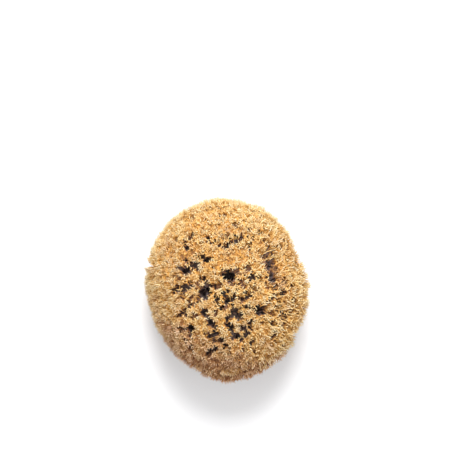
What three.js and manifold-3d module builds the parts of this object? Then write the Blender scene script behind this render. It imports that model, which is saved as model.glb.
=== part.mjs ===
// A bath sponge: the washed, trimmed skeleton of a honeycomb sea sponge, which grew as one piece.
//
// It is a low dome, widest a little under half way up, cut off flat where it stood on the sea bed, so that it
// rests on the cut. The face on top is open: the oscules, through which the living sponge let its water out,
// lie close together there and lead down towards the middle of the body. The solid is the sponge's outer shape,
// as far out as the tips of its tufts reach.
//
// Millimetres, +Z up. The origin is on the cut, at the middle of the sponge's plan.

import * as THREE from "three";
import { mergeVertices } from "three/addons/utils/BufferGeometryUtils.js";
import Module from "manifold-3d";

// Driving dimensions.
const HEIGHT = 69; // from the cut to the crown
const WAIST_HEIGHT = 28; // where the sponge is widest
const UNDERSIDE_DEPTH = 38; // how far below its waist the sponge would round off, if it weren't cut
const SQUARENESS = 2.15; // of the side view: 2 is an ellipse, and more fills out its corners
const WAIST_RADII = [51.8, 51.1, 55.3, 58.4, 58.6, 55.6, 52, 51.4, 54.1, 58.1, 55.4, 51.8]; // every 30 degrees from +X
const FACETING = 16; // more gives smaller facets
const SKELETON_COLOUR = 0xd8ab68;

// Broad swellings, and hollows where the rise is negative. Azimuth runs from +X towards +Y, elevation up from the
// waist, and spread is how wide the swelling is.
const SWELLINGS = [
  { azimuth: 75, elevation: 34, spread: 24, rise: 1.6 },
  { azimuth: 165, elevation: 30, spread: 22, rise: 2 },
  { azimuth: 235, elevation: 38, spread: 26, rise: 1.8 },
  { azimuth: 340, elevation: 26, spread: 20, rise: 1.8 },
  { azimuth: 20, elevation: 48, spread: 9, rise: -4 },
  { azimuth: 42, elevation: 44, spread: 8, rise: -3.2 },
  { azimuth: 148, elevation: 52, spread: 9, rise: -3.4 },
  { azimuth: 183, elevation: 54, spread: 9, rise: -2.6 },
  { azimuth: 343, elevation: 40, spread: 8, rise: -2.4 },
  { azimuth: 290, elevation: 12, spread: 26, rise: 1.2 },
];
const RIPPLE_RISE = 0.55; // small waves all over, between the tufts' groups
const RIPPLE_LENGTHS = [5.3, 6.1, 4.7]; // along X, Y and Z

// Oscules on the face: where each opens in plan, its length and width there, and the turn of its length from +X.
const OSCULES = [
  { x: 19.4, y: -10.6, length: 9.6, width: 8.2, turn: 10, depth: 18 },
  { x: 0, y: 10.3, length: 10, width: 8.6, turn: 0, depth: 18 },
  { x: -14.4, y: -0.4, length: 10, width: 7.8, turn: 30, depth: 17 },
  { x: -9.2, y: 4.4, length: 4.6, width: 3.2, turn: 45, depth: 10 },
  { x: -24.2, y: 5, length: 7.2, width: 4.8, turn: -30, depth: 13 },
  { x: -16.3, y: 9, length: 5.8, width: 4.8, turn: -35, depth: 13 },
  { x: -26.6, y: 13.8, length: 8.4, width: 5.8, turn: 30, depth: 14 },
  { x: -27, y: 20, length: 5, width: 2.6, turn: 10, depth: 8 },
  { x: -26.5, y: 29.4, length: 8.6, width: 4, turn: -62, depth: 10 },
  { x: -28.6, y: -0.6, length: 8, width: 4.4, turn: 86, depth: 8 },
  { x: -12.3, y: 20.9, length: 7.8, width: 5.8, turn: 10, depth: 13 },
  { x: -9.6, y: 15.8, length: 4.4, width: 3, turn: 70, depth: 9 },
  { x: -19.6, y: 14.2, length: 4.8, width: 3, turn: -20, depth: 9 },
  { x: -12, y: 32.5, length: 5.8, width: 3.2, turn: 75, depth: 9 },
  { x: 8.4, y: 34.8, length: 6, width: 3.2, turn: 80, depth: 9 },
  { x: 26, y: 16.6, length: 6.6, width: 5, turn: 80, depth: 11 },
  { x: 26.8, y: 8.4, length: 9, width: 5.4, turn: -25, depth: 9 },
  { x: 12, y: 9.4, length: 5.2, width: 3, turn: 5, depth: 9 },
  { x: 26.4, y: 36, length: 5.4, width: 3.2, turn: 50, depth: 8 },
  { x: -0.6, y: -5, length: 6.4, width: 5.4, turn: 60, depth: 13 },
  { x: -4, y: -9.4, length: 4.6, width: 4.2, turn: 0, depth: 12 },
  { x: 4.2, y: -13.2, length: 6.8, width: 4, turn: -25, depth: 12 },
  { x: 9.4, y: -12.6, length: 3.4, width: 2.8, turn: 60, depth: 9 },
  { x: 9.6, y: -4.2, length: 5.2, width: 4.2, turn: -50, depth: 10 },
  { x: -19.8, y: -6.2, length: 3.6, width: 3.2, turn: 0, depth: 10 },
  { x: -23.8, y: -7.8, length: 4.4, width: 3.4, turn: 75, depth: 10 },
  { x: -14.8, y: -12, length: 8.4, width: 5, turn: 72, depth: 11 },
  { x: -11, y: -18.8, length: 6.8, width: 6, turn: -20, depth: 14 },
  { x: -23.2, y: -22.4, length: 7.2, width: 6.4, turn: 45, depth: 13 },
  { x: 0.6, y: -20.9, length: 9.6, width: 5, turn: -42, depth: 13 },
  { x: -8.8, y: -25.7, length: 7.2, width: 5, turn: 20, depth: 11 },
  { x: 5.9, y: -26.6, length: 6, width: 3.8, turn: 65, depth: 11 },
  { x: 13.2, y: -22.1, length: 5.8, width: 3.2, turn: 15, depth: 10 },
  { x: -30.6, y: -14.3, length: 8.6, width: 3.6, turn: 22, depth: 8 },
  { x: -12.6, y: -38.4, length: 8, width: 5, turn: 75, depth: 9 },
  { x: -23.6, y: -35.4, length: 6.6, width: 4.6, turn: 60, depth: 9 },
  { x: 16.6, y: -37.4, length: 6, width: 3, turn: -60, depth: 8 },
];
const OSCULES_AIM = new THREE.Vector3(0, 0, -130); // they lead down, all a little towards the middle
const OSCULE_SIDES = 9;
const OSCULE_RIM = 4; // how far a cutter stands out of the surface

// A split in the trimmed edge: how far it reaches in, how wide and high it is, and where it runs in from.
const SPLIT = { reach: 6, width: 1.6, height: 16, azimuth: 162, elevation: 6 };

const degrees = THREE.MathUtils.degToRad;
const UP = new THREE.Vector3(0, 0, 1);

function direction(azimuth, elevation) {
  const level = Math.cos(degrees(elevation));
  return new THREE.Vector3(
    level * Math.cos(degrees(azimuth)),
    level * Math.sin(degrees(azimuth)),
    Math.sin(degrees(elevation)),
  );
}

// The radius in plan at the waist, as a smooth closed curve through WAIST_RADII.
const waistPoints = WAIST_RADII.map((radius, i) => new THREE.Vector2(i, radius));
const waistCurve = new THREE.SplineCurve([
  new THREE.Vector2(-1, WAIST_RADII.at(-1)),
  ...waistPoints,
  new THREE.Vector2(WAIST_RADII.length, WAIST_RADII[0]),
  new THREE.Vector2(WAIST_RADII.length + 1, WAIST_RADII[1]),
]);

function waistRadius(angle) {
  const turns = THREE.MathUtils.euclideanModulo(angle / (2 * Math.PI), 1);
  return waistCurve.getPoint((turns * WAIST_RADII.length + 1) / (WAIST_RADII.length + 2)).y;
}

// How far the surface lies from the middle of the waist, towards a unit vector.
function reach(towards) {
  const level = Math.hypot(towards.x, towards.y) / waistRadius(Math.atan2(towards.y, towards.x));
  const rise = Math.abs(towards.z) / (towards.z > 0 ? HEIGHT - WAIST_HEIGHT : UNDERSIDE_DEPTH);
  const smooth = (level ** SQUARENESS + rise ** SQUARENESS) ** (-1 / SQUARENESS);
  const swelling = SWELLINGS.reduce((sum, { azimuth, elevation, spread, rise: height }) => {
    const away = towards.angleTo(direction(azimuth, elevation)) / degrees(spread);
    return sum + height * Math.exp(-away * away);
  }, 0);
  const [a, b, c] = RIPPLE_LENGTHS;
  const ripple =
    Math.sin((smooth * towards.x) / a) * Math.cos((smooth * towards.y) / b) +
    Math.sin((smooth * towards.y) / b + 1) * Math.cos((smooth * towards.z) / c);
  return smooth + swelling + RIPPLE_RISE * ripple;
}

const wasm = await Module();
wasm.setup();

// A closed geometry as a solid that can be cut.
function solidOf(geometry) {
  const bare = geometry.clone();
  bare.deleteAttribute("normal");
  bare.deleteAttribute("uv");
  const merged = mergeVertices(bare, 1e-3);
  const triVerts = new Uint32Array(merged.index.array);
  return new wasm.Manifold(
    new wasm.Mesh({ numProp: 3, vertProperties: merged.attributes.position.array, triVerts }),
  );
}

function geometryOf(solid) {
  const { vertProperties, triVerts } = solid.getMesh();
  const geometry = new THREE.BufferGeometry();
  geometry.setAttribute("position", new THREE.BufferAttribute(vertProperties, 3));
  geometry.setIndex(new THREE.BufferAttribute(triVerts, 1));
  geometry.computeVertexNormals();
  return geometry;
}

// The sponge before it is cut: a ball of even facets, pushed out to the surface.
function wholeBody() {
  const ball = new THREE.IcosahedronGeometry(1, FACETING);
  const position = ball.getAttribute("position");
  const point = new THREE.Vector3();
  for (let i = 0; i < position.count; i++) {
    point.fromBufferAttribute(position, i).normalize();
    point.multiplyScalar(reach(point));
    position.setXYZ(i, point.x, point.y, point.z + WAIST_HEIGHT);
  }
  return ball;
}

// Everything under the flat cut.
function belowTheCut() {
  const side = 3 * HEIGHT;
  return new THREE.BoxGeometry(side, side, side).translate(0, 0, -side / 2);
}

// A funnel that opens where the oscule does and narrows to a rounded end.
function osculeCutter({ x, y, length, width, turn, depth }, body) {
  const down = new THREE.Raycaster(new THREE.Vector3(x, y, 2 * HEIGHT), UP.clone().negate());
  const mouth = down.intersectObject(body)[0].point;
  const profile = [
    [0, OSCULE_RIM],
    [1.12, OSCULE_RIM],
    [1, 0],
    [0.9, -0.3 * depth],
    [0.72, -0.8 * depth],
    [0.36, -depth],
    [0, -1.03 * depth],
  ].map(([radius, along]) => new THREE.Vector2(radius, along));
  const outwards = mouth.clone().sub(OSCULES_AIM).normalize();
  return new THREE.LatheGeometry(profile.reverse(), OSCULE_SIDES)
    .rotateX(Math.PI / 2)
    .scale(length / 2, width / 2, 1)
    .rotateZ(degrees(turn))
    .applyQuaternion(new THREE.Quaternion().setFromUnitVectors(UP, outwards))
    .translate(mouth.x, mouth.y, mouth.z);
}

// A thin wedge that opens outwards.
function splitCutter({ reach: inwards, width, height, azimuth, elevation }) {
  const towards = direction(azimuth, elevation);
  const wedge = new THREE.Shape([
    new THREE.Vector2(-inwards, 0),
    new THREE.Vector2(inwards, -width),
    new THREE.Vector2(inwards, width),
  ]);
  const edge = towards.clone().multiplyScalar(reach(towards));
  return new THREE.ExtrudeGeometry(wedge, { depth: height, bevelEnabled: false })
    .translate(0, 0, -height / 2)
    .rotateZ(degrees(azimuth))
    .translate(edge.x, edge.y, edge.z + WAIST_HEIGHT);
}

function spongeGeometry() {
  const whole = wholeBody();
  const body = new THREE.Mesh(whole);
  const cutters = [
    belowTheCut(),
    splitCutter(SPLIT),
    ...OSCULES.map((oscule) => osculeCutter(oscule, body)),
  ];
  const cut = cutters.reduce((solid, cutter) => solid.subtract(solidOf(cutter)), solidOf(whole));
  const geometry = geometryOf(cut);
  geometry.computeBoundingBox();
  const middle = geometry.boundingBox.getCenter(new THREE.Vector3());
  return geometry.translate(-middle.x, -middle.y, 0);
}

const sponge = new THREE.Mesh(
  spongeGeometry(),
  new THREE.MeshStandardMaterial({ color: SKELETON_COLOUR, roughness: 0.9, metalness: 0 }),
);
sponge.name = "sponge";

const part = new THREE.Group();
part.add(sponge);
export default part;
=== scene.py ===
import math

import bmesh
import bpy
import numpy as np
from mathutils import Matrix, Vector
from mathutils.bvhtree import BVHTree
from mathutils.kdtree import KDTree


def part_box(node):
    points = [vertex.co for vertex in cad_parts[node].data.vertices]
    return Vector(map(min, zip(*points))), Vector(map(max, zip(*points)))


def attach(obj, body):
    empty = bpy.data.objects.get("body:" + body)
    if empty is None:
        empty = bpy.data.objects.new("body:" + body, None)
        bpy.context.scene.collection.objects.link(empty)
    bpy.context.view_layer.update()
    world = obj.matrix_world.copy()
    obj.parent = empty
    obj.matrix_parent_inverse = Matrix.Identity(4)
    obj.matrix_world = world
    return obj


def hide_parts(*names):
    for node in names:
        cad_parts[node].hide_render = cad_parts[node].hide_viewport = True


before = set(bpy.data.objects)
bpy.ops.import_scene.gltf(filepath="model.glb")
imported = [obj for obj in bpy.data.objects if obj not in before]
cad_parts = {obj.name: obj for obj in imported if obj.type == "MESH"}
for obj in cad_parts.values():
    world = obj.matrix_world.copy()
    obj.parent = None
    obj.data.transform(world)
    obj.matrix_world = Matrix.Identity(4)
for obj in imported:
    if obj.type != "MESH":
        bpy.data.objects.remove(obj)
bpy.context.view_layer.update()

# The trimmed outline
#
# A bath sponge is clipped with shears to an even dome after it is washed and dried. The solid is that
# outline, with the oscules already sunk in it, and everything below grows out as far as it. Lengths are in
# millimetres until a mesh is made.

MM = 0.001
HEART_LEVEL = 0.41  # of the sponge's height
HEART = np.array([0, 0, HEART_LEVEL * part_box("sponge")[1].z / MM])  # everything grows outwards from here
HALF_SIZE = np.array(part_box("sponge")[1]) / MM * (1, 1, 0.5)  # it stands on its origin
rng = np.random.default_rng(22)


def mesh_corners(mesh):
    """A mesh's corners, in metres."""
    co = np.empty(len(mesh.vertices) * 3)
    mesh.vertices.foreach_get("co", co)
    return co.reshape(-1, 3)


def search_tree(points):
    """Finds the nearest of the points, and gives each its number in the list."""
    tree = KDTree(len(points))
    for i, point in enumerate(points):
        tree.insert(Vector(point), i)
    tree.balance()
    return tree


def unit(vectors):
    return vectors / np.linalg.norm(vectors, axis=-1, keepdims=True).clip(1e-9)


def ease(value, low, high):
    """0 below low, 1 above high, and smooth between them."""
    share = np.clip((value - low) / (high - low), 0, 1)
    return share * share * (3 - 2 * share)


def directions(across, down):
    """Unit vectors in rows from straight up to straight down, each row once round."""
    azimuth = np.arange(across) / across * 2 * np.pi
    polar = np.arange(down) / (down - 1) * np.pi
    azimuth, polar = np.meshgrid(azimuth, polar)
    return np.stack([np.sin(polar) * np.cos(azimuth), np.sin(polar) * np.sin(azimuth), np.cos(polar)], -1)


def look_up(rows, towards):
    """What rows of values laid out as directions() say towards each unit vector."""
    down, across = rows.shape
    x = np.arctan2(towards[..., 1], towards[..., 0]) / (2 * np.pi) % 1 * across
    y = np.arccos(towards[..., 2].clip(-1, 1)) / np.pi * (down - 1)
    left = np.floor(x).astype(int)
    above = np.minimum(np.floor(y).astype(int), down - 2)
    x = x - left
    y = y - above
    left = left % across
    right = (left + 1) % across
    upper = rows[above, left] * (1 - x) + rows[above, right] * x
    lower = rows[above + 1, left] * (1 - x) + rows[above + 1, right] * x
    return upper * (1 - y) + lower * y


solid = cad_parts["sponge"].data
corners = mesh_corners(solid) / MM - HEART
solid_tree = BVHTree.FromPolygons([Vector(c) for c in corners], [tuple(p.vertices) for p in solid.polygons])

# Only the corners that face outwards and aren't far below their neighbours are on the outline: the rest are
# in an oscule. Neighbours are found on a ball about as large as the sponge.
FACING = 0.75  # least cosine of a corner's slope
BALL = 50.0
NEAR = 7.0  # wider than any oscule's half
NEAR_RANK = 75  # per cent of the neighbours are no farther out than the level that a corner is held against
SUNK = 4.5
facing = (unit(corners) * np.array([v.normal for v in solid.vertices])).sum(1) > FACING
corners = corners[facing]
far_out = np.linalg.norm(corners, axis=1)
ball_tree = search_tree(unit(corners) * BALL)
level = np.array([
    np.percentile([far_out[i] for _, i, _ in ball_tree.find_range(Vector(corner), NEAR)], NEAR_RANK)
    for corner in unit(corners) * BALL
])
outer = far_out > level - SUNK
outer_far = far_out[outer]
outer_tree = search_tree(unit(corners[outer]))

BRIDGING = 6  # corners that a stretch of the outline is drawn between
BRIDGE_EASE = 0.02


def unbroken(towards):
    """How far out the outline is there, as if the oscules weren't."""
    found = outer_tree.find_n(Vector(towards), BRIDGING)
    weight = np.array([1 / (away + BRIDGE_EASE) ** 2 for _, _, away in found])
    return weight @ outer_far[[i for _, i, _ in found]] / weight.sum()


two_degrees = directions(180, 91)
side_rows = np.array([unbroken(d) for d in two_degrees.reshape(-1, 3)]).reshape(two_degrees.shape[:2])
surface = two_degrees * side_rows[..., None]
slope_round = np.roll(surface, -1, 1) - np.roll(surface, 1, 1)
slope_down = np.gradient(surface, axis=0)
square = unit(np.cross(slope_down, slope_round))
square[0] = (0, 0, 1)
square[-1] = (0, 0, -1)


def cut_distance(towards):
    """How far the flat cut is from the heart."""
    return HEART[2] / np.maximum(-towards[..., 2], 1e-6)


def outline(towards):
    return np.minimum(look_up(side_rows, towards), cut_distance(towards))


UPTURN = 1.3


def growth(towards):
    """The way the fibres grow there: square to the outline, and turned upwards on the face."""
    out = np.stack([look_up(square[..., i], towards) for i in range(3)], -1)
    return unit(unit(out) + np.multiply.outer(UPTURN * ease(towards[..., 2], 0.35, 0.75), (0, 0, 1)))


# How deep the oscules are, measured the way the fibres grow. The 0.75 degrees from one measure to the next
# are about 0.7 mm on the outline.
OUTSIDE = 25.0


def depth_met(place, way):
    met = solid_tree.ray_cast(Vector(place + way * OUTSIDE), Vector(-way))[0]
    return (Vector(place) - met).dot(Vector(way)) if met else 0


fine = directions(480, 241)
fine_places = (fine * outline(fine)[..., None]).reshape(-1, 3)
fine_ways = growth(fine).reshape(-1, 3)
depth_rows = np.array([depth_met(place, way) for place, way in zip(fine_places, fine_ways)])
depth_rows = depth_rows.reshape(fine.shape[:2])


def sunk(towards):
    """How deep the solid's oscules are there."""
    return look_up(depth_rows, towards)


WAVES = 7
WAVE_SUM = 2.4  # what the waves seldom add up to


def swell(places, length, seed):
    """Slow rises and falls from -1 to 1 or so, about that long."""
    waves = np.random.default_rng(seed)
    total = 0
    for _ in range(WAVES):
        way = unit(waves.normal(size=3)) * 2 * np.pi / (length * waves.uniform(0.7, 1.5))
        total = total + np.sin(places @ way + waves.uniform(0, 6))
    return total / WAVE_SUM


# The honeycomb of pits
#
# Under its tufts a honeycomb sponge is a mass of thin walls with open pits between them. They are set out
# here: each has a middle on the outline and a depth, and the walls stand where two or three pits are equally
# near.

PIT_TRIES = 14000
PIT_SPACING = 3.6
FACE_PIT_SPACING = 1.4  # more than that on the face
PIT_DEPTHS = [1.2, 3.2, 6.0]
PIT_SHARES = [0.4, 0.3, 0.3]
CLOSED_PIT = 1.5  # the depth of those that have nearly grown shut
WALL_ENDS = 0.4  # by how much nearer one pit is than the next, where the wall between them ends
FLOOR_STARTS = 1.7  # and where the pit's floor starts
OSCULE_DEPTH = 3.0  # past this it is an oscule, not a dip
OSCULE_EXTRA = 0.6  # sunk below the solid's
RAGGED_EDGE = 0.75  # how far the edges of pits and oscules stray
RAGGED_LENGTH = 2.8
CELL = 6.0  # for finding neighbours, about the widest spacing


def scatter(tries, spacing_of):
    """Random places on the outline above the cut, no two closer than the later one's spacing."""
    towards = unit(rng.normal(size=(tries, 3)))
    far = look_up(side_rows, towards)
    even = rng.random(tries) < (far / side_rows.max()) ** 2  # as many to a square millimetre near and far
    towards = towards[even & (far < cut_distance(towards) - 1)]
    places = towards * outline(towards)[:, None]
    spacing = spacing_of(towards, places)
    keys = np.floor(places / CELL).astype(int)
    kept = []
    cells = {}
    for i in np.flatnonzero(spacing > 0):
        x, y, z = keys[i]
        around = [
            j
            for a in (x - 1, x, x + 1)
            for b in (y - 1, y, y + 1)
            for c in (z - 1, z, z + 1)
            for j in cells.get((a, b, c), ())
        ]
        if around and np.min(((places[around] - places[i]) ** 2).sum(1)) < spacing[i] ** 2:
            continue
        kept.append(i)
        cells.setdefault((x, y, z), []).append(i)
    return towards[kept], places[kept]


def regions(places):
    """How far each place belongs to the parts of the sponge that grew differently, told in its half sizes."""
    x, y, z = ((places + HEART) / HALF_SIZE).T
    return {
        "face": ease(z, 1.05, 1.5),
        "right": ease(x, 0.3, 0.52) * ease(z, 0.2, 0.5) * ease(-abs(y), -0.95, -0.65),
        "left": ease(-x, 0.5, 0.72),
        "low": ease(-y, 0.5, 0.74),
        "high": ease(y, 0.52, 0.76),
    }


def pit_spacing(towards, places):
    return PIT_SPACING + FACE_PIT_SPACING * regions(places)["face"]


_, pits = scatter(PIT_TRIES, pit_spacing)
pit_regions = regions(pits)
pit_depth = rng.choice(PIT_DEPTHS, len(pits), p=PIT_SHARES)
close_grown = 0.9 * np.max([pit_regions["left"], pit_regions["low"], 0.8 * pit_regions["high"]], axis=0)
pit_depth = np.where(rng.random(len(pits)) < close_grown, CLOSED_PIT, pit_depth)
pit_tree = search_tree(pits)


WALL_DROP = 4.8
LESS_ON_FACE = 2.3
LESS_ON_LEFT = 1.5


def wall_drop(places):
    """How far the tops of the walls are below the tufts' tips."""
    part = regions(places)
    return WALL_DROP - LESS_ON_FACE * part["face"] - LESS_ON_LEFT * part["left"] * (1 - part["face"])


# A low stretch between the face and its right flank.
VALLEY = np.array([[23.5, 23.0], [28.5, 12.0]])  # its ends
VALLEY_HALF = 4.2
VALLEY_BANK = 1.5
VALLEY_DEPTH = 3.2


def valley(places):
    along = VALLEY[1] - VALLEY[0]
    share = np.clip((places[:, :2] - VALLEY[0]) @ along / (along @ along), 0, 1)
    away = np.linalg.norm(places[:, :2] - VALLEY[0] - share[:, None] * along, axis=1)
    return VALLEY_DEPTH * ease(-away, -VALLEY_HALF, VALLEY_BANK - VALLEY_HALF) * (places[:, 2] > 0)


def hollow(places):
    """How far the mass is below the tops of the walls there."""
    strays = np.stack([swell(places, RAGGED_LENGTH, seed) for seed in (31, 32, 33)], 1)
    strayed = places + RAGGED_EDGE * strays
    found = [pit_tree.find_n(Vector(p), 2) for p in strayed]
    ahead = np.array([f[1][2] - f[0][2] for f in found])
    nearest = np.array([f[0][1] for f in found])
    pit = ease(ahead, WALL_ENDS, FLOOR_STARTS) * pit_depth[nearest]
    pit = np.maximum(pit, valley(strayed))
    oscule = sunk(unit(strayed))
    oscule_floor = np.maximum(oscule + OSCULE_EXTRA - wall_drop(places), pit)
    return np.where(oscule > OSCULE_DEPTH, oscule_floor, pit)


# The mass under the tufts
#
# Spongin is a springy, horn-like fibre. Here it is matted into walls, as the sponge grew it, from the roots
# of the tufts to the flat cut, where the knife that took it off the rock laid its canals open. A split runs
# into its left edge.

SPLIT_WAY = math.radians(162)
SPLIT_REACH = 8.0
SPLIT_HEIGHTS = (-18, 22)  # from the heart
SPLIT_ENDS = 6.0  # the length over which each end closes
GROOVE_HALF = 2.2

bm = bmesh.new()
bmesh.ops.create_icosphere(bm, subdivisions=7, radius=1)
middles = unit(np.array([f.calc_center_median() for f in bm.faces]))
on_face = regions(middles * outline(middles)[:, None])["face"] > 0.4  # where its walls are made finer
edges = {e for f, finer in zip(bm.faces, on_face) if finer for e in f.edges}
bmesh.ops.subdivide_edges(bm, edges=list(edges), cuts=1, use_grid_fill=True)
bmesh.ops.triangulate(bm, faces=bm.faces)
mass_mesh = bpy.data.meshes.new("sponge_mass")
bm.to_mesh(mass_mesh)
bm.free()


def split_at(points):
    """How open the split is at each point, up to 1, how far across it the point is, and the way across."""
    out = np.array([math.cos(SPLIT_WAY), math.sin(SPLIT_WAY), 0])
    across = np.array([-out[1], out[0], 0])
    edge = look_up(side_rows, out)
    low, high = SPLIT_HEIGHTS
    opening = np.clip((points @ out - edge + SPLIT_REACH) / SPLIT_REACH, 0, 1) ** 0.7
    opening = opening * ease(points[..., 2], low, low + SPLIT_ENDS)
    opening = opening * ease(-points[..., 2], -high, SPLIT_ENDS - high)
    off = points @ across + 0.2 * swell(points, 30, 51)
    return opening, off, across


# The walls are lumpy and grainy, and more so off the face.
LUMPS = 0.35
LUMP_LENGTH = 1.6
FLANK_LUMPS = 0.6
FLANK_LUMP_LENGTH = 2.4
GRAIN = 0.2
FLANK_GRAIN = 0.15

towards = unit(mesh_corners(mass_mesh))
side = towards * look_up(side_rows, towards)[:, None]
flank = 1 - regions(side)["face"]
drop = wall_drop(side) + hollow(side) + LUMPS * swell(side, LUMP_LENGTH, 41)
drop = drop + FLANK_LUMPS * flank * swell(side, FLANK_LUMP_LENGTH, 42)
drop = drop + (GRAIN + FLANK_GRAIN * flank) * rng.normal(size=len(towards))
opening, off, _ = split_at(side)
drop = np.maximum(drop, SPLIT_REACH * opening * np.clip(1 - np.abs(off) / GROOVE_HALF, 0, 1))
mass = side - drop[:, None] * growth(towards)
to_cut = HEART[2] / np.maximum(-mass[:, 2], 1e-6)
in_cut = to_cut < 1
mass = mass * np.minimum(to_cut, 1)[:, None]

# The canals that the knife laid open are pores in the cut.
PORE_GAP = 1.9
PORE_TRIES = 3000
PORE_DEPTHS = (1.2, 2.5, 5.0)
PORE_SHARES = (0.4, 0.35, 0.25)

pores = []
for pore in rng.uniform(-1, 1, (PORE_TRIES, 2)) * HALF_SIZE[:2]:
    if all(math.dist(pore, other) > PORE_GAP for other in pores):
        pores.append(pore)
pore_tree = search_tree([(x, y, 0) for x, y in pores])
pore_depth = rng.choice(PORE_DEPTHS, len(pores), p=PORE_SHARES)
for i in np.flatnonzero(in_cut):
    found = pore_tree.find_n(Vector((*mass[i, :2], 0)), 2)
    within = ease(found[1][2] - found[0][2], 0.25, 1.0)
    mass[i, 2] += pore_depth[found[0][1]] * within * ease(1 - to_cut[i], 0, 0.05)

mass_mesh.vertices.foreach_set("co", ((mass + HEART) * MM).ravel())
mass_mesh.update()


class Strand:
    """A value on its way through a material's nodes. Sums of them add Math nodes."""

    def __init__(self, tree, socket=None):
        self.tree = tree
        self.socket = socket

    def node(self, kind, settings=None, sockets=None, output=0):
        """Adds any other node: its settings come first, then what its sockets hold or are linked to."""
        made = self.tree.nodes.new("ShaderNode" + kind)
        for name, value in (settings or {}).items():
            if name == "stops":
                while len(made.color_ramp.elements) < len(value):
                    made.color_ramp.elements.new(0.5)
                for element, (position, colour) in zip(made.color_ramp.elements, value):
                    element.position = position
                    element.color = (*colour, 1)
            else:
                setattr(made, name, value)
        for name, value in (sockets or {}).items():
            if isinstance(value, Strand):
                self.tree.links.new(value.socket, made.inputs[name])
            else:
                made.inputs[name].default_value = value
        return Strand(self.tree, made.outputs[output])

    def math(self, operation, first, second):
        return self.node("Math", {"operation": operation}, {0: first, 1: second})

    def __add__(self, other):
        return self.math("ADD", self, other)

    def __sub__(self, other):
        return self.math("SUBTRACT", self, other)

    def __rsub__(self, other):
        return self.math("SUBTRACT", other, self)

    def __mul__(self, other):
        return self.math("MULTIPLY", self, other)

    __radd__ = __add__
    __rmul__ = __mul__


# Each colour runs from the tufts' tips down to the roots. The darkening with depth is partly the spongin's
# own darker roots and partly painted shade in the pits, where the deepest stops are a shadow grey. The mauve
# ramp is a painted-shade copy of the pale one.
PALE = [
    (0.0, (0.875, 0.75, 0.49)),
    (0.12, (0.88, 0.63, 0.275)),
    (0.25, (0.71, 0.365, 0.08)),
    (0.47, (0.28, 0.145, 0.09)),
    (0.7, (0.20, 0.155, 0.145)),
]
PAINTED_SHADE_MAUVE = [
    (0.0, (0.80, 0.56, 0.38)),
    (0.12, (0.63, 0.37, 0.20)),
    (0.25, (0.41, 0.19, 0.08)),
    (0.47, (0.20, 0.11, 0.08)),
    (0.7, (0.18, 0.145, 0.135)),
]
RUST = [
    (0.0, (0.68, 0.35, 0.13)),
    (0.12, (0.54, 0.22, 0.06)),
    (0.25, (0.34, 0.12, 0.035)),
    (0.47, (0.165, 0.072, 0.041)),
    (0.7, (0.13, 0.09, 0.08)),
]
MOTTLE = 0.12  # how much the mottling shifts them
MOTTLE_SCALE = 420.0
FIBRE_SCALE = 2200.0
FIBRE_RELIEF = 0.0004  # in metres


def spongin():
    """Dried spongin: pale where sun and shears reached it, darker towards the roots and in the pits, partly
    its own colour and partly painted shade.
    """
    material = bpy.data.materials.new("spongin")
    material.use_nodes = True
    tree = material.node_tree
    shader = tree.nodes["Principled BSDF"]
    start = Strand(tree)
    depth = start.node("Attribute", {"attribute_name": "depth"}, output=2)
    tone = start.node("Attribute", {"attribute_name": "tone"}, output=2)
    place = start.node("TexCoord", output=3)
    noise = {"Vector": place, "Roughness": 0.6}
    mottle = start.node("TexNoise", None, {**noise, "Scale": MOTTLE_SCALE, "Detail": 3.0})
    shade = depth + (mottle - 0.5) * MOTTLE
    pale = start.node("ValToRGB", {"stops": PALE}, {"Fac": shade})
    painted_shade_mauve = start.node("ValToRGB", {"stops": PAINTED_SHADE_MAUVE}, {"Fac": shade})
    rust = start.node("ValToRGB", {"stops": RUST}, {"Fac": shade})
    # A lower tone turns the pale ramp towards the mauve one, which is painted shade, and lowest towards rust.
    browns = start.node("Mix", {"data_type": "RGBA"}, {0: tone * 2.5, 6: rust, 7: painted_shade_mauve}, output=2)
    colour = start.node("Mix", {"data_type": "RGBA"}, {0: tone * 2.5 - 1.0, 6: browns, 7: pale}, output=2)
    tree.links.new(colour.socket, shader.inputs["Base Color"])
    fibre = start.node("TexNoise", None, {**noise, "Scale": FIBRE_SCALE, "Detail": 2.0})
    bump = start.node("Bump", None, {"Strength": 0.6, "Distance": FIBRE_RELIEF, "Height": fibre})
    tree.links.new(bump.socket, shader.inputs["Normal"])
    rough = 0.72 + mottle * 0.2
    tree.links.new(rough.socket, shader.inputs["Roughness"])
    shader.inputs["Specular IOR Level"].default_value = 0.25
    return material


SPONGIN = spongin()
DEEPEST = 12.0  # where the colours' scale ends, below the tufts' tips


def dress(mesh, tones):
    """Gives a mesh, in place, its depth and tone at each corner, the same two as a map, and its material."""
    from_heart = mesh_corners(mesh) / MM - HEART
    below = outline(unit(from_heart)) - np.linalg.norm(from_heart, axis=1)
    depth = (below / DEEPEST).clip(0.01, 0.99)
    tones = tones.clip(0.01, 0.99)
    for name, values in (("depth", depth), ("tone", tones)):
        mesh.attributes.new(name, "FLOAT", "POINT").data.foreach_set("value", values)
    corner = np.empty(len(mesh.loops), int)
    mesh.loops.foreach_get("vertex_index", corner)
    uv = np.stack([tones[corner], depth[corner]], 1)
    mesh.uv_layers.new(name="OFBake").uv.foreach_set("vector", uv.ravel())
    mesh.materials.append(SPONGIN)
    mesh.shade_smooth()


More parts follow.
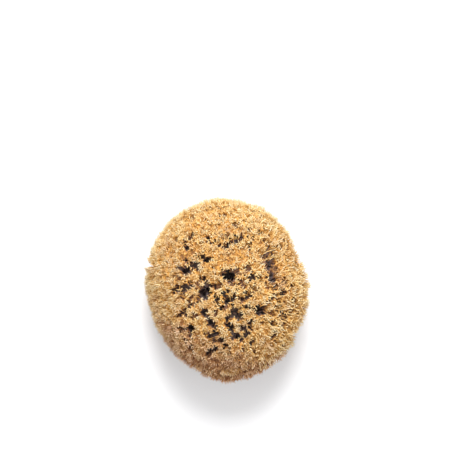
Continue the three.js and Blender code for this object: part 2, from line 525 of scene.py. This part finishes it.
def tone_and_painted_light(places):
    """How pale the sponge is there: its lower edge is tawnier, the lower and lower-left flanks are darkened
    as painted shade, and the upper edge is paler as painted light.
    """
    blotches = 0.06 * swell(places, 14, 7)
    x, y, z = ((places + HEART) / HALF_SIZE).T
    rim = ease(-y, 0.62, 0.88) * ease(-z, -1.35, -0.95)
    # Painted shade: the lower and lower-left part is darkened, towards the mauve ramp.
    painted_shade_low_left = ease(-y - 0.35 * x, 0.3, 0.85)
    # The 0.1 added along the upper edge, nearest the key lamp, is painted light.
    return 0.78 + blotches - 0.34 * painted_shade_low_left - 0.4 * rim + 0.1 * regions(places)["high"]


def finish_piece(mesh, name):
    piece = bpy.data.objects.new(name, mesh)
    bpy.context.scene.collection.objects.link(piece)
    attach(piece, "root")
    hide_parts("sponge")


mass_places = mesh_corners(mass_mesh) / MM - HEART
dress(mass_mesh, tone_and_painted_light(mass_places) + rng.normal(0, 0.08, len(mass_places)))
finish_piece(mass_mesh, "sponge_mass")

# The tufts
#
# The fibres stand up off the walls in tufts, each a stem with forked arms, and end where the shears cut them.
# They are stars on the face, a long mane swept outwards on its right, a fine felt on its left and upper
# edges, and a brush below and all round the flanks.

GROWTHS = {
    "star": {
        "spacing": 2.4, "arms": 9, "crown": 2.2, "length": 5.0, "thick": 0.84, "begin": (0.3, 0.6),
        "flat": 0.4, "sway": 0.2, "sweep": 0.1, "ragged": 0.6, "crook": 0.15,
        "gather": -0.5, "bunch": 4.6, "round_off": 1.2, "rise": 0.3,
    },
    "mane": {
        "spacing": 3.2, "arms": 11, "crown": 2.2, "length": 10.0, "thick": 0.56, "begin": (0.1, 0.6),
        "flat": 0, "sway": 0.15, "sweep": 1.0, "ragged": 1.0, "crook": 0.12,
        "gather": 0.5, "bunch": 6.4, "round_off": 2.6, "rise": 1.7,
    },
    "felt": {
        "spacing": 2.5, "arms": 11, "crown": 1.5, "length": 8.0, "thick": 0.44, "begin": (0.1, 0.7),
        "flat": 0, "sway": 0.14, "sweep": 1.1, "ragged": 0.45, "crook": 0.08,
        "gather": 0.08, "bunch": 3.8, "round_off": 0.25, "rise": 1.0,
    },
    "brush": {
        "spacing": 2.8, "arms": 12, "crown": 2.0, "length": 9.0, "thick": 0.5, "begin": (0.1, 0.6),
        "flat": 0, "sway": 0.12, "sweep": 0.8, "ragged": 0.8, "crook": 0.1,
        "gather": 0.35, "bunch": 5.2, "round_off": 1.5, "rise": 1.5,
    },
}
KINDS = list(GROWTHS)
BUNCH_TRIES = 18000
TUFT_TRIES = 62000
DEEPEST_TUFT = 2.0  # none grow in a hollow deeper than this


def growth_at(places):
    """Which way each place's tuft grew, drawn by how likely each is there, so they mingle at the borders."""
    part = regions(places)
    likely = {
        "star": part["face"] * (1 - part["left"]) * (1 - part["low"]) * (1 - part["right"]),
        "mane": part["right"] * (1 - part["low"]),
        "felt": np.maximum(part["left"], part["high"]) * 0.9,
        "brush": np.maximum(part["low"], 0.6 * (1 - part["face"])),
    }
    shares = np.stack(list(likely.values()), 1) + 0.02
    shares = shares / shares.sum(1, keepdims=True)
    draw = rng.random((len(places), 1))
    return (draw > shares.cumsum(1)).sum(1).clip(0, len(KINDS) - 1)


def asked(kind_numbers, name):
    """One of the growths' values, for each place."""
    return np.array([GROWTHS[kind][name] for kind in KINDS])[kind_numbers]


def bunch_spacing(towards, places):
    return asked(growth_at(places), "bunch")


def tuft_spacing(towards, places):
    spacing = asked(growth_at(places), "spacing")
    return np.where(hollow(places) > DEEPEST_TUFT, 0, spacing)


# Tufts stand in bunches, which lean and end together.
_, bunches = scatter(BUNCH_TRIES, bunch_spacing)
bunch_lean = rng.normal(0, 1, (len(bunches), 3))
bunch_rise = rng.uniform(-1.2, 0.5, len(bunches))
bunch_tone = rng.normal(0, 0.08, len(bunches))
bunch_tree = search_tree(bunches)

tuft_towards, tuft_tips = scatter(TUFT_TRIES, tuft_spacing)
tuft_kind = growth_at(tuft_tips)


def squares(axes):
    """Two unit vectors square to each axis and to each other."""
    helper = np.where(np.abs(axes[..., 2:]) < 0.9, (0, 0, 1), (1, 0, 0))
    across = unit(np.cross(axes, helper))
    return across, np.cross(axes, across)


def trimmed(points, over):
    """Pulls what has grown past the shears back to them."""
    far = np.linalg.norm(points, axis=-1, keepdims=True)
    towards = points / far.clip(1e-9)
    limit = np.minimum(look_up(side_rows, towards) + over, cut_distance(towards))
    return towards * np.minimum(far, limit[..., None])


SPLIT_GAPE = 1.9  # how far it pushes the fibres beside it


def parted(paths):
    """Moves the branches at the split to the side of it that most of each is on."""
    opening, off, across = split_at(paths)
    side_of_it = np.where(off.mean(1, keepdims=True) < 0, -1, 1)
    within = side_of_it * off
    held = np.where(within < 0, within * (1 - opening), within)
    moved = held + SPLIT_GAPE * opening * np.clip(1.3 - held / 3, 0, 1)
    return paths + (side_of_it * (moved - within))[..., None] * across


def clear_round(towards, places):
    """How far each place is from the nearest oscule's edge, up to 3.5 mm."""
    u, v = squares(towards)
    room = np.full(len(places), 3.5)
    for away in (2.5, 1.8, 1.1):
        for turn in np.arange(8) * math.pi / 4:
            at = places + away * (math.cos(turn) * u + math.sin(turn) * v)
            room = np.where(sunk(unit(at)) > OSCULE_DEPTH, away, room)
    return room


def bowed(start, bend, end, share):
    """Points at those shares of a curve from start to end that bend draws towards itself."""
    start = start[..., None, :]
    bend = bend[..., None, :]
    end = end[..., None, :]
    return (1 - share) ** 2 * start + 2 * share * (1 - share) * bend + share * share * end


def tine_lines(fork, way, length, knee, ahead):
    """Centre lines of tines that leave a fork one way and turn ahead at their knee."""
    return np.stack([fork, fork + knee * length * way, fork + length * unit(way + ahead)], -2)


ARM_POINTS = np.array([0, 0.38, 0.74, 1])[:, None]
ARM_TAPER = np.array([0.46, 0.38, 0.29, 0.0])
TINE_TAPER = np.array([0.27, 0.23, 0.0])
STEM_POINTS = np.array([-0.1, 0.3, 0.72])
STEM_TAPER = np.array([0.8, 0.6, 0.0])
MOST_FALL = 1.8  # of an arm's tip below the tuft's head
OVER_OSCULES = 0.07  # the share that is left of the arms over an oscule


def tuft_branches(kind, towards, tips):
    """The centre lines and radii of one kind of tuft's arms, tines and stems, with a tone for each."""
    g = GROWTHS[kind]
    count = len(tips)
    arms = g["arms"]
    bunch = np.array([bunch_tree.find(Vector(p))[1] for p in tips])
    away = tips - bunches[bunch]
    from_middle = np.linalg.norm(away, axis=1) / g["bunch"]

    # The stem's line, from its root in the mass to its head at the shears.
    swing = g["sway"] * (0.8 * bunch_lean[bunch] + 0.5 * rng.normal(size=(count, 3)))
    swing[:, :2] += g["sweep"] * unit(towards * (1, 1, 0))[:, :2]
    up = growth(towards)
    length = g["length"] * rng.uniform(0.85, 1.15, count)
    crown = g["crown"] * rng.uniform(0.8, 1.2, count)
    crown = np.minimum(crown, clear_round(towards, tips))
    over = (bunch_rise[bunch] + rng.uniform(-0.4, 0.3, count)) * g["ragged"]
    over = over + g["rise"] + g["ragged"] * swell(tips, 7, 5) - 4 * g["round_off"] * from_middle**2
    root = tips - length[:, None] * unit(up + swing)
    head = tips + over[:, None] * up - g["gather"] * away
    axis = unit(head - root)
    length = np.linalg.norm(head - root, axis=1)

    def up_stem(distance):
        return root[:, None] + distance[..., None] * axis[:, None]

    # The arms fan out round it, the first of them nearly straight up.
    u, v = squares(axis)
    turn = (np.arange(arms) + rng.uniform(-0.35, 0.35, (count, arms))) / arms * 2 * np.pi
    turn = turn + rng.uniform(0, 2 * np.pi, (count, 1))
    out = np.cos(turn)[..., None] * u[:, None] + np.sin(turn)[..., None] * v[:, None]
    wide = rng.uniform(0.6, 1.15, (count, arms))
    wide[:, 0] = rng.uniform(0.05, 0.3, count)
    fall = 0.22 - 0.1 * g["flat"]
    drop = (0.03 + fall * wide**2 * rng.uniform(0.3, 1.3, (count, arms))) * length[:, None]
    drop = np.minimum(drop, MOST_FALL)
    begin = rng.uniform(*g["begin"], (count, arms))
    bend_at = (1 - g["flat"]) * (0.35 + 0.6 * begin) + g["flat"] * 0.94
    side_step = (wide * crown[:, None])[..., None] * out
    start = up_stem(begin * length[:, None]) + 0.12 * side_step
    end = up_stem(length[:, None] - drop) + side_step
    bend = up_stem(bend_at * length[:, None] - 0.5 * drop) + 0.5 * side_step
    path = bowed(start, bend, end, ARM_POINTS)
    path[:, :, 1:] += rng.normal(0, g["crook"], path[:, :, 1:].shape)
    past_shears = np.minimum(over, g["ragged"])[:, None, None]
    path = trimmed(path, past_shears)
    radius = ARM_TAPER * g["thick"] * rng.uniform(0.8, 1.15, (count, arms, 1))
    tone = (tone_and_painted_light(tips) + bunch_tone[bunch])[:, None] + rng.normal(0, 0.06, (count, arms))
    over_oscule = (sunk(unit(path[:, :, 1:])) > OSCULE_DEPTH).any(2)
    kept = ~over_oscule | (rng.random((count, arms)) < OVER_OSCULES)

    # One tine forks off each arm, in the first half of its last stretch.
    at = rng.uniform(0.1, 0.9, (count, arms, 1)) * 0.5
    fork = (1 - at) * path[:, :, 2] + at * path[:, :, 3]
    along = unit(path[:, :, 3] - path[:, :, 1])
    sideways = np.cross(axis[:, None], out) * rng.choice([-1, 1], (count, arms, 1))
    way = unit(along + 0.55 * sideways + rng.normal(0, 0.2, along.shape))
    tine_length = rng.uniform(0.9, 1.9, (count, arms, 1)) * (0.6 + 0.4 * g["crown"] / 2)
    tine = trimmed(tine_lines(fork, way, tine_length, 0.55, 0.5 * along), past_shears)
    tine_radius = TINE_TAPER * g["thick"] * np.ones((count, arms, 1))

    stem = trimmed(up_stem(STEM_POINTS * length[:, None]), 0)
    stem_radius = STEM_TAPER * g["thick"] * np.ones((count, 1))
    return [
        (path[kept], radius[kept], tone[kept]),
        (tine[kept], tine_radius[kept], tone[kept] + 0.04),
        (stem, stem_radius, tone[:, 0]),
    ]


SIDES = 3  # of a fibre, fine as it is
TONE_SPREAD = 0.02  # round a fibre, so that its faces have some width on the map


def swept(path, radius, tone):
    """Tapered branches, each a ring of corners at every point but the last, which is the tip."""
    path = parted(path)
    count, points, _ = path.shape
    along = unit(np.gradient(path, axis=1))
    helper = unit(rng.normal(size=(count, 1, 3)))
    u = unit(np.cross(along, helper))
    v = np.cross(along, u)
    turn = np.arange(SIDES) / SIDES * 2 * np.pi
    ring = np.cos(turn)[:, None] * u[:, :-1, None] + np.sin(turn)[:, None] * v[:, :-1, None]
    rings = path[:, :-1, None] + radius[:, :-1, None, None] * ring
    corners = np.concatenate([rings.reshape(count, -1, 3), path[:, -1:]], 1)
    round_ring = np.linspace(-TONE_SPREAD, TONE_SPREAD, SIDES)
    tones = tone[:, None] + np.append(np.tile(round_ring, points - 1), 0)
    quads = []
    for low in range(0, (points - 2) * SIDES, SIDES):
        high = low + SIDES
        for a in range(SIDES):
            b = (a + 1) % SIDES
            quads.append([low + a, low + b, high + b, high + a])
    last = (points - 2) * SIDES
    tips = [[last + a, last + (a + 1) % SIDES, last + SIDES] for a in range(SIDES)]
    first = (np.arange(count) * corners.shape[1])[:, None, None]
    quads = (first + np.array(quads)).reshape(-1, 4)
    tips = (first + np.array(tips)).reshape(-1, 3)
    return corners.reshape(-1, 3), tones.ravel(), quads, tips


LEAST_CLEARANCE = 0.02  # of every fibre above what the sponge lies on


def branch_mesh(grown, name):
    """Makes one piece of the branches whose centre lines, radii and tones are given."""
    corners = []
    tones = []
    quads = []
    tips = []
    base = 0
    for path, radius, tone in grown:
        branch_corners, branch_tones, branch_quads, branch_tips = swept(path, radius, tone)
        corners.append(branch_corners)
        tones.append(branch_tones)
        quads.append(branch_quads + base)
        tips.append(branch_tips + base)
        base += len(branch_corners)
    corners = np.concatenate(corners)
    tones = np.concatenate(tones)
    quads = np.concatenate(quads)
    tips = np.concatenate(tips)
    corners[:, 2] = np.maximum(corners[:, 2], LEAST_CLEARANCE - HEART[2])
    mesh = bpy.data.meshes.new(name)
    mesh.vertices.add(len(corners))
    mesh.vertices.foreach_set("co", ((corners + HEART) * MM).ravel())
    loops = np.concatenate([quads.ravel(), tips.ravel()])
    mesh.loops.add(len(loops))
    mesh.loops.foreach_set("vertex_index", loops)
    mesh.polygons.add(len(quads) + len(tips))
    starts = np.concatenate([np.arange(len(quads)) * 4, len(quads) * 4 + np.arange(len(tips)) * 3])
    mesh.polygons.foreach_set("loop_start", starts)
    mesh.update(calc_edges=True)
    mesh.validate()
    dress(mesh, tones)
    finish_piece(mesh, name)


# The felt and the brush are too much for one mesh each, so they are made in stretches of the way round.
STRETCHES = {"felt": 2, "brush": 3}

for number, kind in enumerate(KINDS):
    here = tuft_towards[tuft_kind == number]
    tips = tuft_tips[tuft_kind == number]
    if kind in STRETCHES:
        stretch = (np.arctan2(here[:, 1], here[:, 0]) / (2 * np.pi) % 1 * STRETCHES[kind]).astype(int)
        for i in range(STRETCHES[kind]):
            branches = tuft_branches(kind, here[stretch == i], tips[stretch == i])
            branch_mesh(branches, f"sponge_{kind}_{i + 1}")
    else:
        branch_mesh(tuft_branches(kind, here, tips), f"sponge_{kind}")

# The antlers
#
# On the right of the face long single fibres lie outwards over the mane, forked all along like antlers. Each
# is one fibre with its tines, pale where it lies in the light.

ANTLER_TRIES = 30000
ANTLER_SPACING = 2.9
ANTLER_LENGTH = (4.0, 10.0)
ANTLER_POINTS = 6
ANTLER_THICK = 0.34
ANTLER_TIP = 0.55  # of its thickness, at the last point before the tip
DEEPEST_ANTLER = 3.0
TINES = 6
TINE_LENGTH = (1.0, 2.4)
ANTLER_TINE_TAPER = np.array([0.62, 0.5, 0])


def antler_spacing(towards, places):
    over_hollow = hollow(places) > DEEPEST_ANTLER
    likely = regions(places)["right"] * ease(towards[:, 2], 0.25, 0.5)
    return np.where((rng.random(len(places)) < likely) & ~over_hollow, ANTLER_SPACING, 0)


def lying(places, way, length, points, bow):
    """Centre lines that start in the mass at each place and lie along the outline."""
    share = np.linspace(0, 1, points)
    line = places[:, None] + (share * length[:, None])[..., None] * way[:, None]
    line = line + (bow[:, None] * share**2)[..., None] * np.cross(way, unit(places))[:, None]
    towards = unit(line)
    below = 4.0 * (1 - share) ** 1.5 + rng.uniform(-0.3, 1.6, (len(places), 1))
    level = look_up(side_rows, towards) - below + 0.3 * rng.normal(size=towards.shape[:2]) * share
    return towards * np.minimum(level, np.linalg.norm(line, axis=-1) + 1)[..., None]


antler_towards, antler_places = scatter(ANTLER_TRIES, antler_spacing)
antler_count = len(antler_places)
antler_way = unit(antler_towards * (1, 1, 0) + rng.normal(0, 0.25, (antler_count, 3)))
antler_way = unit(antler_way - (antler_way * antler_towards).sum(1)[:, None] * antler_towards)
antler_length = rng.uniform(*ANTLER_LENGTH, antler_count)
antler_bow = rng.normal(0, 1.4, antler_count)
antler = lying(antler_places, antler_way, antler_length, ANTLER_POINTS, antler_bow)
clear = ~(sunk(unit(antler)) > OSCULE_DEPTH).any(1)
antler = antler[clear]
antler_count = len(antler)
antler_taper = np.append(np.linspace(1, ANTLER_TIP, ANTLER_POINTS - 1), 0)
antler_tone = tone_and_painted_light(antler_places[clear]) + rng.normal(0, 0.06, antler_count)
each_antler = np.ones((antler_count, 1))
antlers = [(antler, ANTLER_THICK * antler_taper * each_antler, antler_tone)]
for number in range(TINES):
    leg = 1 + number % (ANTLER_POINTS - 2)
    share = rng.uniform(0, 1, (antler_count, 1))
    fork = (1 - share) * antler[:, leg] + share * antler[:, leg + 1]
    ahead = unit(antler[:, leg + 1] - antler[:, leg])
    aside = np.cross(ahead, unit(fork)) * rng.choice([-1, 1], (antler_count, 1))
    lift = rng.uniform(0.1, 0.8, (antler_count, 1)) * unit(fork)
    tine_way = unit(ahead + 0.7 * aside + lift + rng.normal(0, 0.15, (antler_count, 3)))
    tine_length = rng.uniform(*TINE_LENGTH, (antler_count, 1))
    tine = trimmed(tine_lines(fork, tine_way, tine_length, 0.5, 0.4 * ahead), 0.8)
    antlers.append((tine, ANTLER_THICK * ANTLER_TINE_TAPER * each_antler, antler_tone))
branch_mesh(antlers, "sponge_antlers")

# The down
#
# Between the tufts the walls and the floors of the pits are lined with short single fibres, which are longer
# in the pits and on the flanks.

DOWN_TRIES = 70000
DOWN_SPACING = 1.05
PIT_DOWN_SPACING = 0.95
SHALLOWEST_PIT = 1.5
BARE_DEPTH = 7.0  # none grow deeper
DOWN_LENGTH = (1.0, 2.8)
DOWN_ROOT = 0.3  # sunk in the mass
DOWN_TAPER = np.array([0.32, 0.22, 0.0])


def down_spacing(towards, places):
    deep = hollow(places)
    return np.where(deep > BARE_DEPTH, 0, np.where(deep > SHALLOWEST_PIT, PIT_DOWN_SPACING, DOWN_SPACING))


def bent(foot, length, way, turned):
    """Centre lines of fibres that leave their foot one way and turn halfway."""
    return np.stack([foot, foot + 0.5 * length * way, foot + 0.5 * length * way + 0.5 * length * turned], 1)


down_towards, down_places = scatter(DOWN_TRIES, down_spacing)
down_count = len(down_places)
down_up = growth(down_towards)
down_way = unit(down_up + rng.normal(0, 0.4, (down_count, 3)))
down_length = rng.uniform(*DOWN_LENGTH, down_count)[:, None]
in_pit = hollow(down_places)
down_flank = 1 - regions(down_places)["face"]
down_length = down_length * (1 + 0.25 * in_pit + 0.4 * down_flank)[:, None]
down_foot = down_places - ((wall_drop(down_places) + in_pit)[:, None] + DOWN_ROOT) * down_up
down_turned = unit(down_way + rng.normal(0, 0.35, (down_count, 3)))
down = bent(down_foot, down_length, down_way, down_turned)
down_tone = tone_and_painted_light(down_places) + rng.normal(0, 0.08, down_count)
branch_mesh([(down, DOWN_TAPER * np.ones((down_count, 1)), down_tone)], "sponge_down")

# The fringes
#
# Single fibres reach from the edges of the face's pits and oscules into them, a little stouter than the down.
# They grow out of the walls near their tops.

FRINGE_TRIES = 60000
FRINGE_SPACING = 0.75
FRINGE_LENGTH = (1.1, 2.6)
FRINGE_ROOT = (0.4, 1.1)  # of the way from the tufts' tips down to the tops of the walls
FRINGE_TAPER = np.array([0.4, 0.29, 0.0])
ON_EDGE = 1.2  # the hollow that is still the edge
EDGE_STEP = 0.9  # how far out from it the fall is looked for
LEAST_FALL = 1.5


def edge_fall(places, towards):
    """How much the mass falls away at each place by an edge, and the way it falls fastest."""
    u, v = squares(growth(towards))
    here = hollow(places)
    fall = 0
    for turn in np.arange(6) * math.pi / 3:
        step = math.cos(turn) * u + math.sin(turn) * v
        fall = fall + np.maximum(hollow(places + EDGE_STEP * step) - here, 0)[:, None] * step
    return np.where(here < ON_EDGE, np.linalg.norm(fall, axis=1), 0), unit(fall)


def fringe_spacing(towards, places):
    on_face = regions(places)["face"] > 0.1
    steep = np.zeros(len(places))
    steep[on_face] = edge_fall(places[on_face], towards[on_face])[0]
    return np.where(steep > LEAST_FALL, FRINGE_SPACING, 0)


fringe_towards, fringe_places = scatter(FRINGE_TRIES, fringe_spacing)
over_edge = edge_fall(fringe_places, fringe_towards)[1]
fringe_count = len(fringe_places)
fringe_up = growth(fringe_towards)
fringe_drop = wall_drop(fringe_places) * rng.uniform(*FRINGE_ROOT, fringe_count)
fringe_foot = fringe_places - fringe_drop[:, None] * fringe_up
fringe_length = rng.uniform(*FRINGE_LENGTH, fringe_count)[:, None]
fringe_way = unit(over_edge + 0.6 * fringe_up + rng.normal(0, 0.3, (fringe_count, 3)))
fringe_turned = unit(over_edge + 0.2 * fringe_up + rng.normal(0, 0.4, (fringe_count, 3)))
fringe = bent(fringe_foot, fringe_length, fringe_way, fringe_turned)
fringe_tone = tone_and_painted_light(fringe_places) + rng.normal(0, 0.08, fringe_count)
branch_mesh([(fringe, FRINGE_TAPER * np.ones((fringe_count, 1)), fringe_tone)], "sponge_fringe")

# The table top, the camera and the lights
#
# A plain pale sheet under the sponge, seen from straight above, with a broad soft lamp beyond the sponge's
# upper edge, a weak one on the other side and a wide pale sky. Lengths are in metres here.

FLOOR_SIZE = 2.4
PAPER_COLOUR = (0.82, 0.82, 0.83, 1)
PICTURE_WIDTH = 0.2845  # of what the camera takes in at the sponge
PICTURE_MIDDLE = Vector((0, 0.0393, 0.036))
LENS = 100.0  # this and the next in millimetres
SENSOR = 36.0
LIT_POINT = Vector((0, 0, 0.03))
SKY_STRENGTH = 0.83

bpy.ops.mesh.primitive_plane_add(size=FLOOR_SIZE)
floor = bpy.context.object
floor.name = "table_top"
paper = bpy.data.materials.new("pale_paper")
paper.use_nodes = True
paper_shader = paper.node_tree.nodes["Principled BSDF"]
paper_shader.inputs["Base Color"].default_value = PAPER_COLOUR
paper_shader.inputs["Roughness"].default_value = 0.8
floor.data.materials.append(paper)

camera = bpy.data.objects.new("camera", bpy.data.cameras.new("camera"))
camera.data.lens = LENS
camera.data.sensor_width = SENSOR
camera.location = PICTURE_MIDDLE + Vector((0, 0, PICTURE_WIDTH * LENS / SENSOR))
bpy.context.scene.collection.objects.link(camera)
bpy.context.scene.camera = camera


def lamp(name, place, size, power):
    made = bpy.data.objects.new(name, bpy.data.lights.new(name, "AREA"))
    made.data.size = size
    made.data.energy = power
    made.location = place
    made.rotation_euler = (LIT_POINT - Vector(place)).to_track_quat("-Z", "Y").to_euler()
    bpy.context.scene.collection.objects.link(made)


lamp("key", place=(0.02, 0.75, 0.9), size=0.5, power=15.5)
lamp("fill", place=(0.5, -0.6, 0.9), size=0.9, power=3)

sky = bpy.data.worlds.new("sky")
sky.use_nodes = True
background = sky.node_tree.nodes["Background"]
background.inputs["Color"].default_value = (1, 1, 1, 1)
background.inputs["Strength"].default_value = SKY_STRENGTH
bpy.context.scene.world = sky
bpy.context.scene.view_settings.view_transform = "Standard"
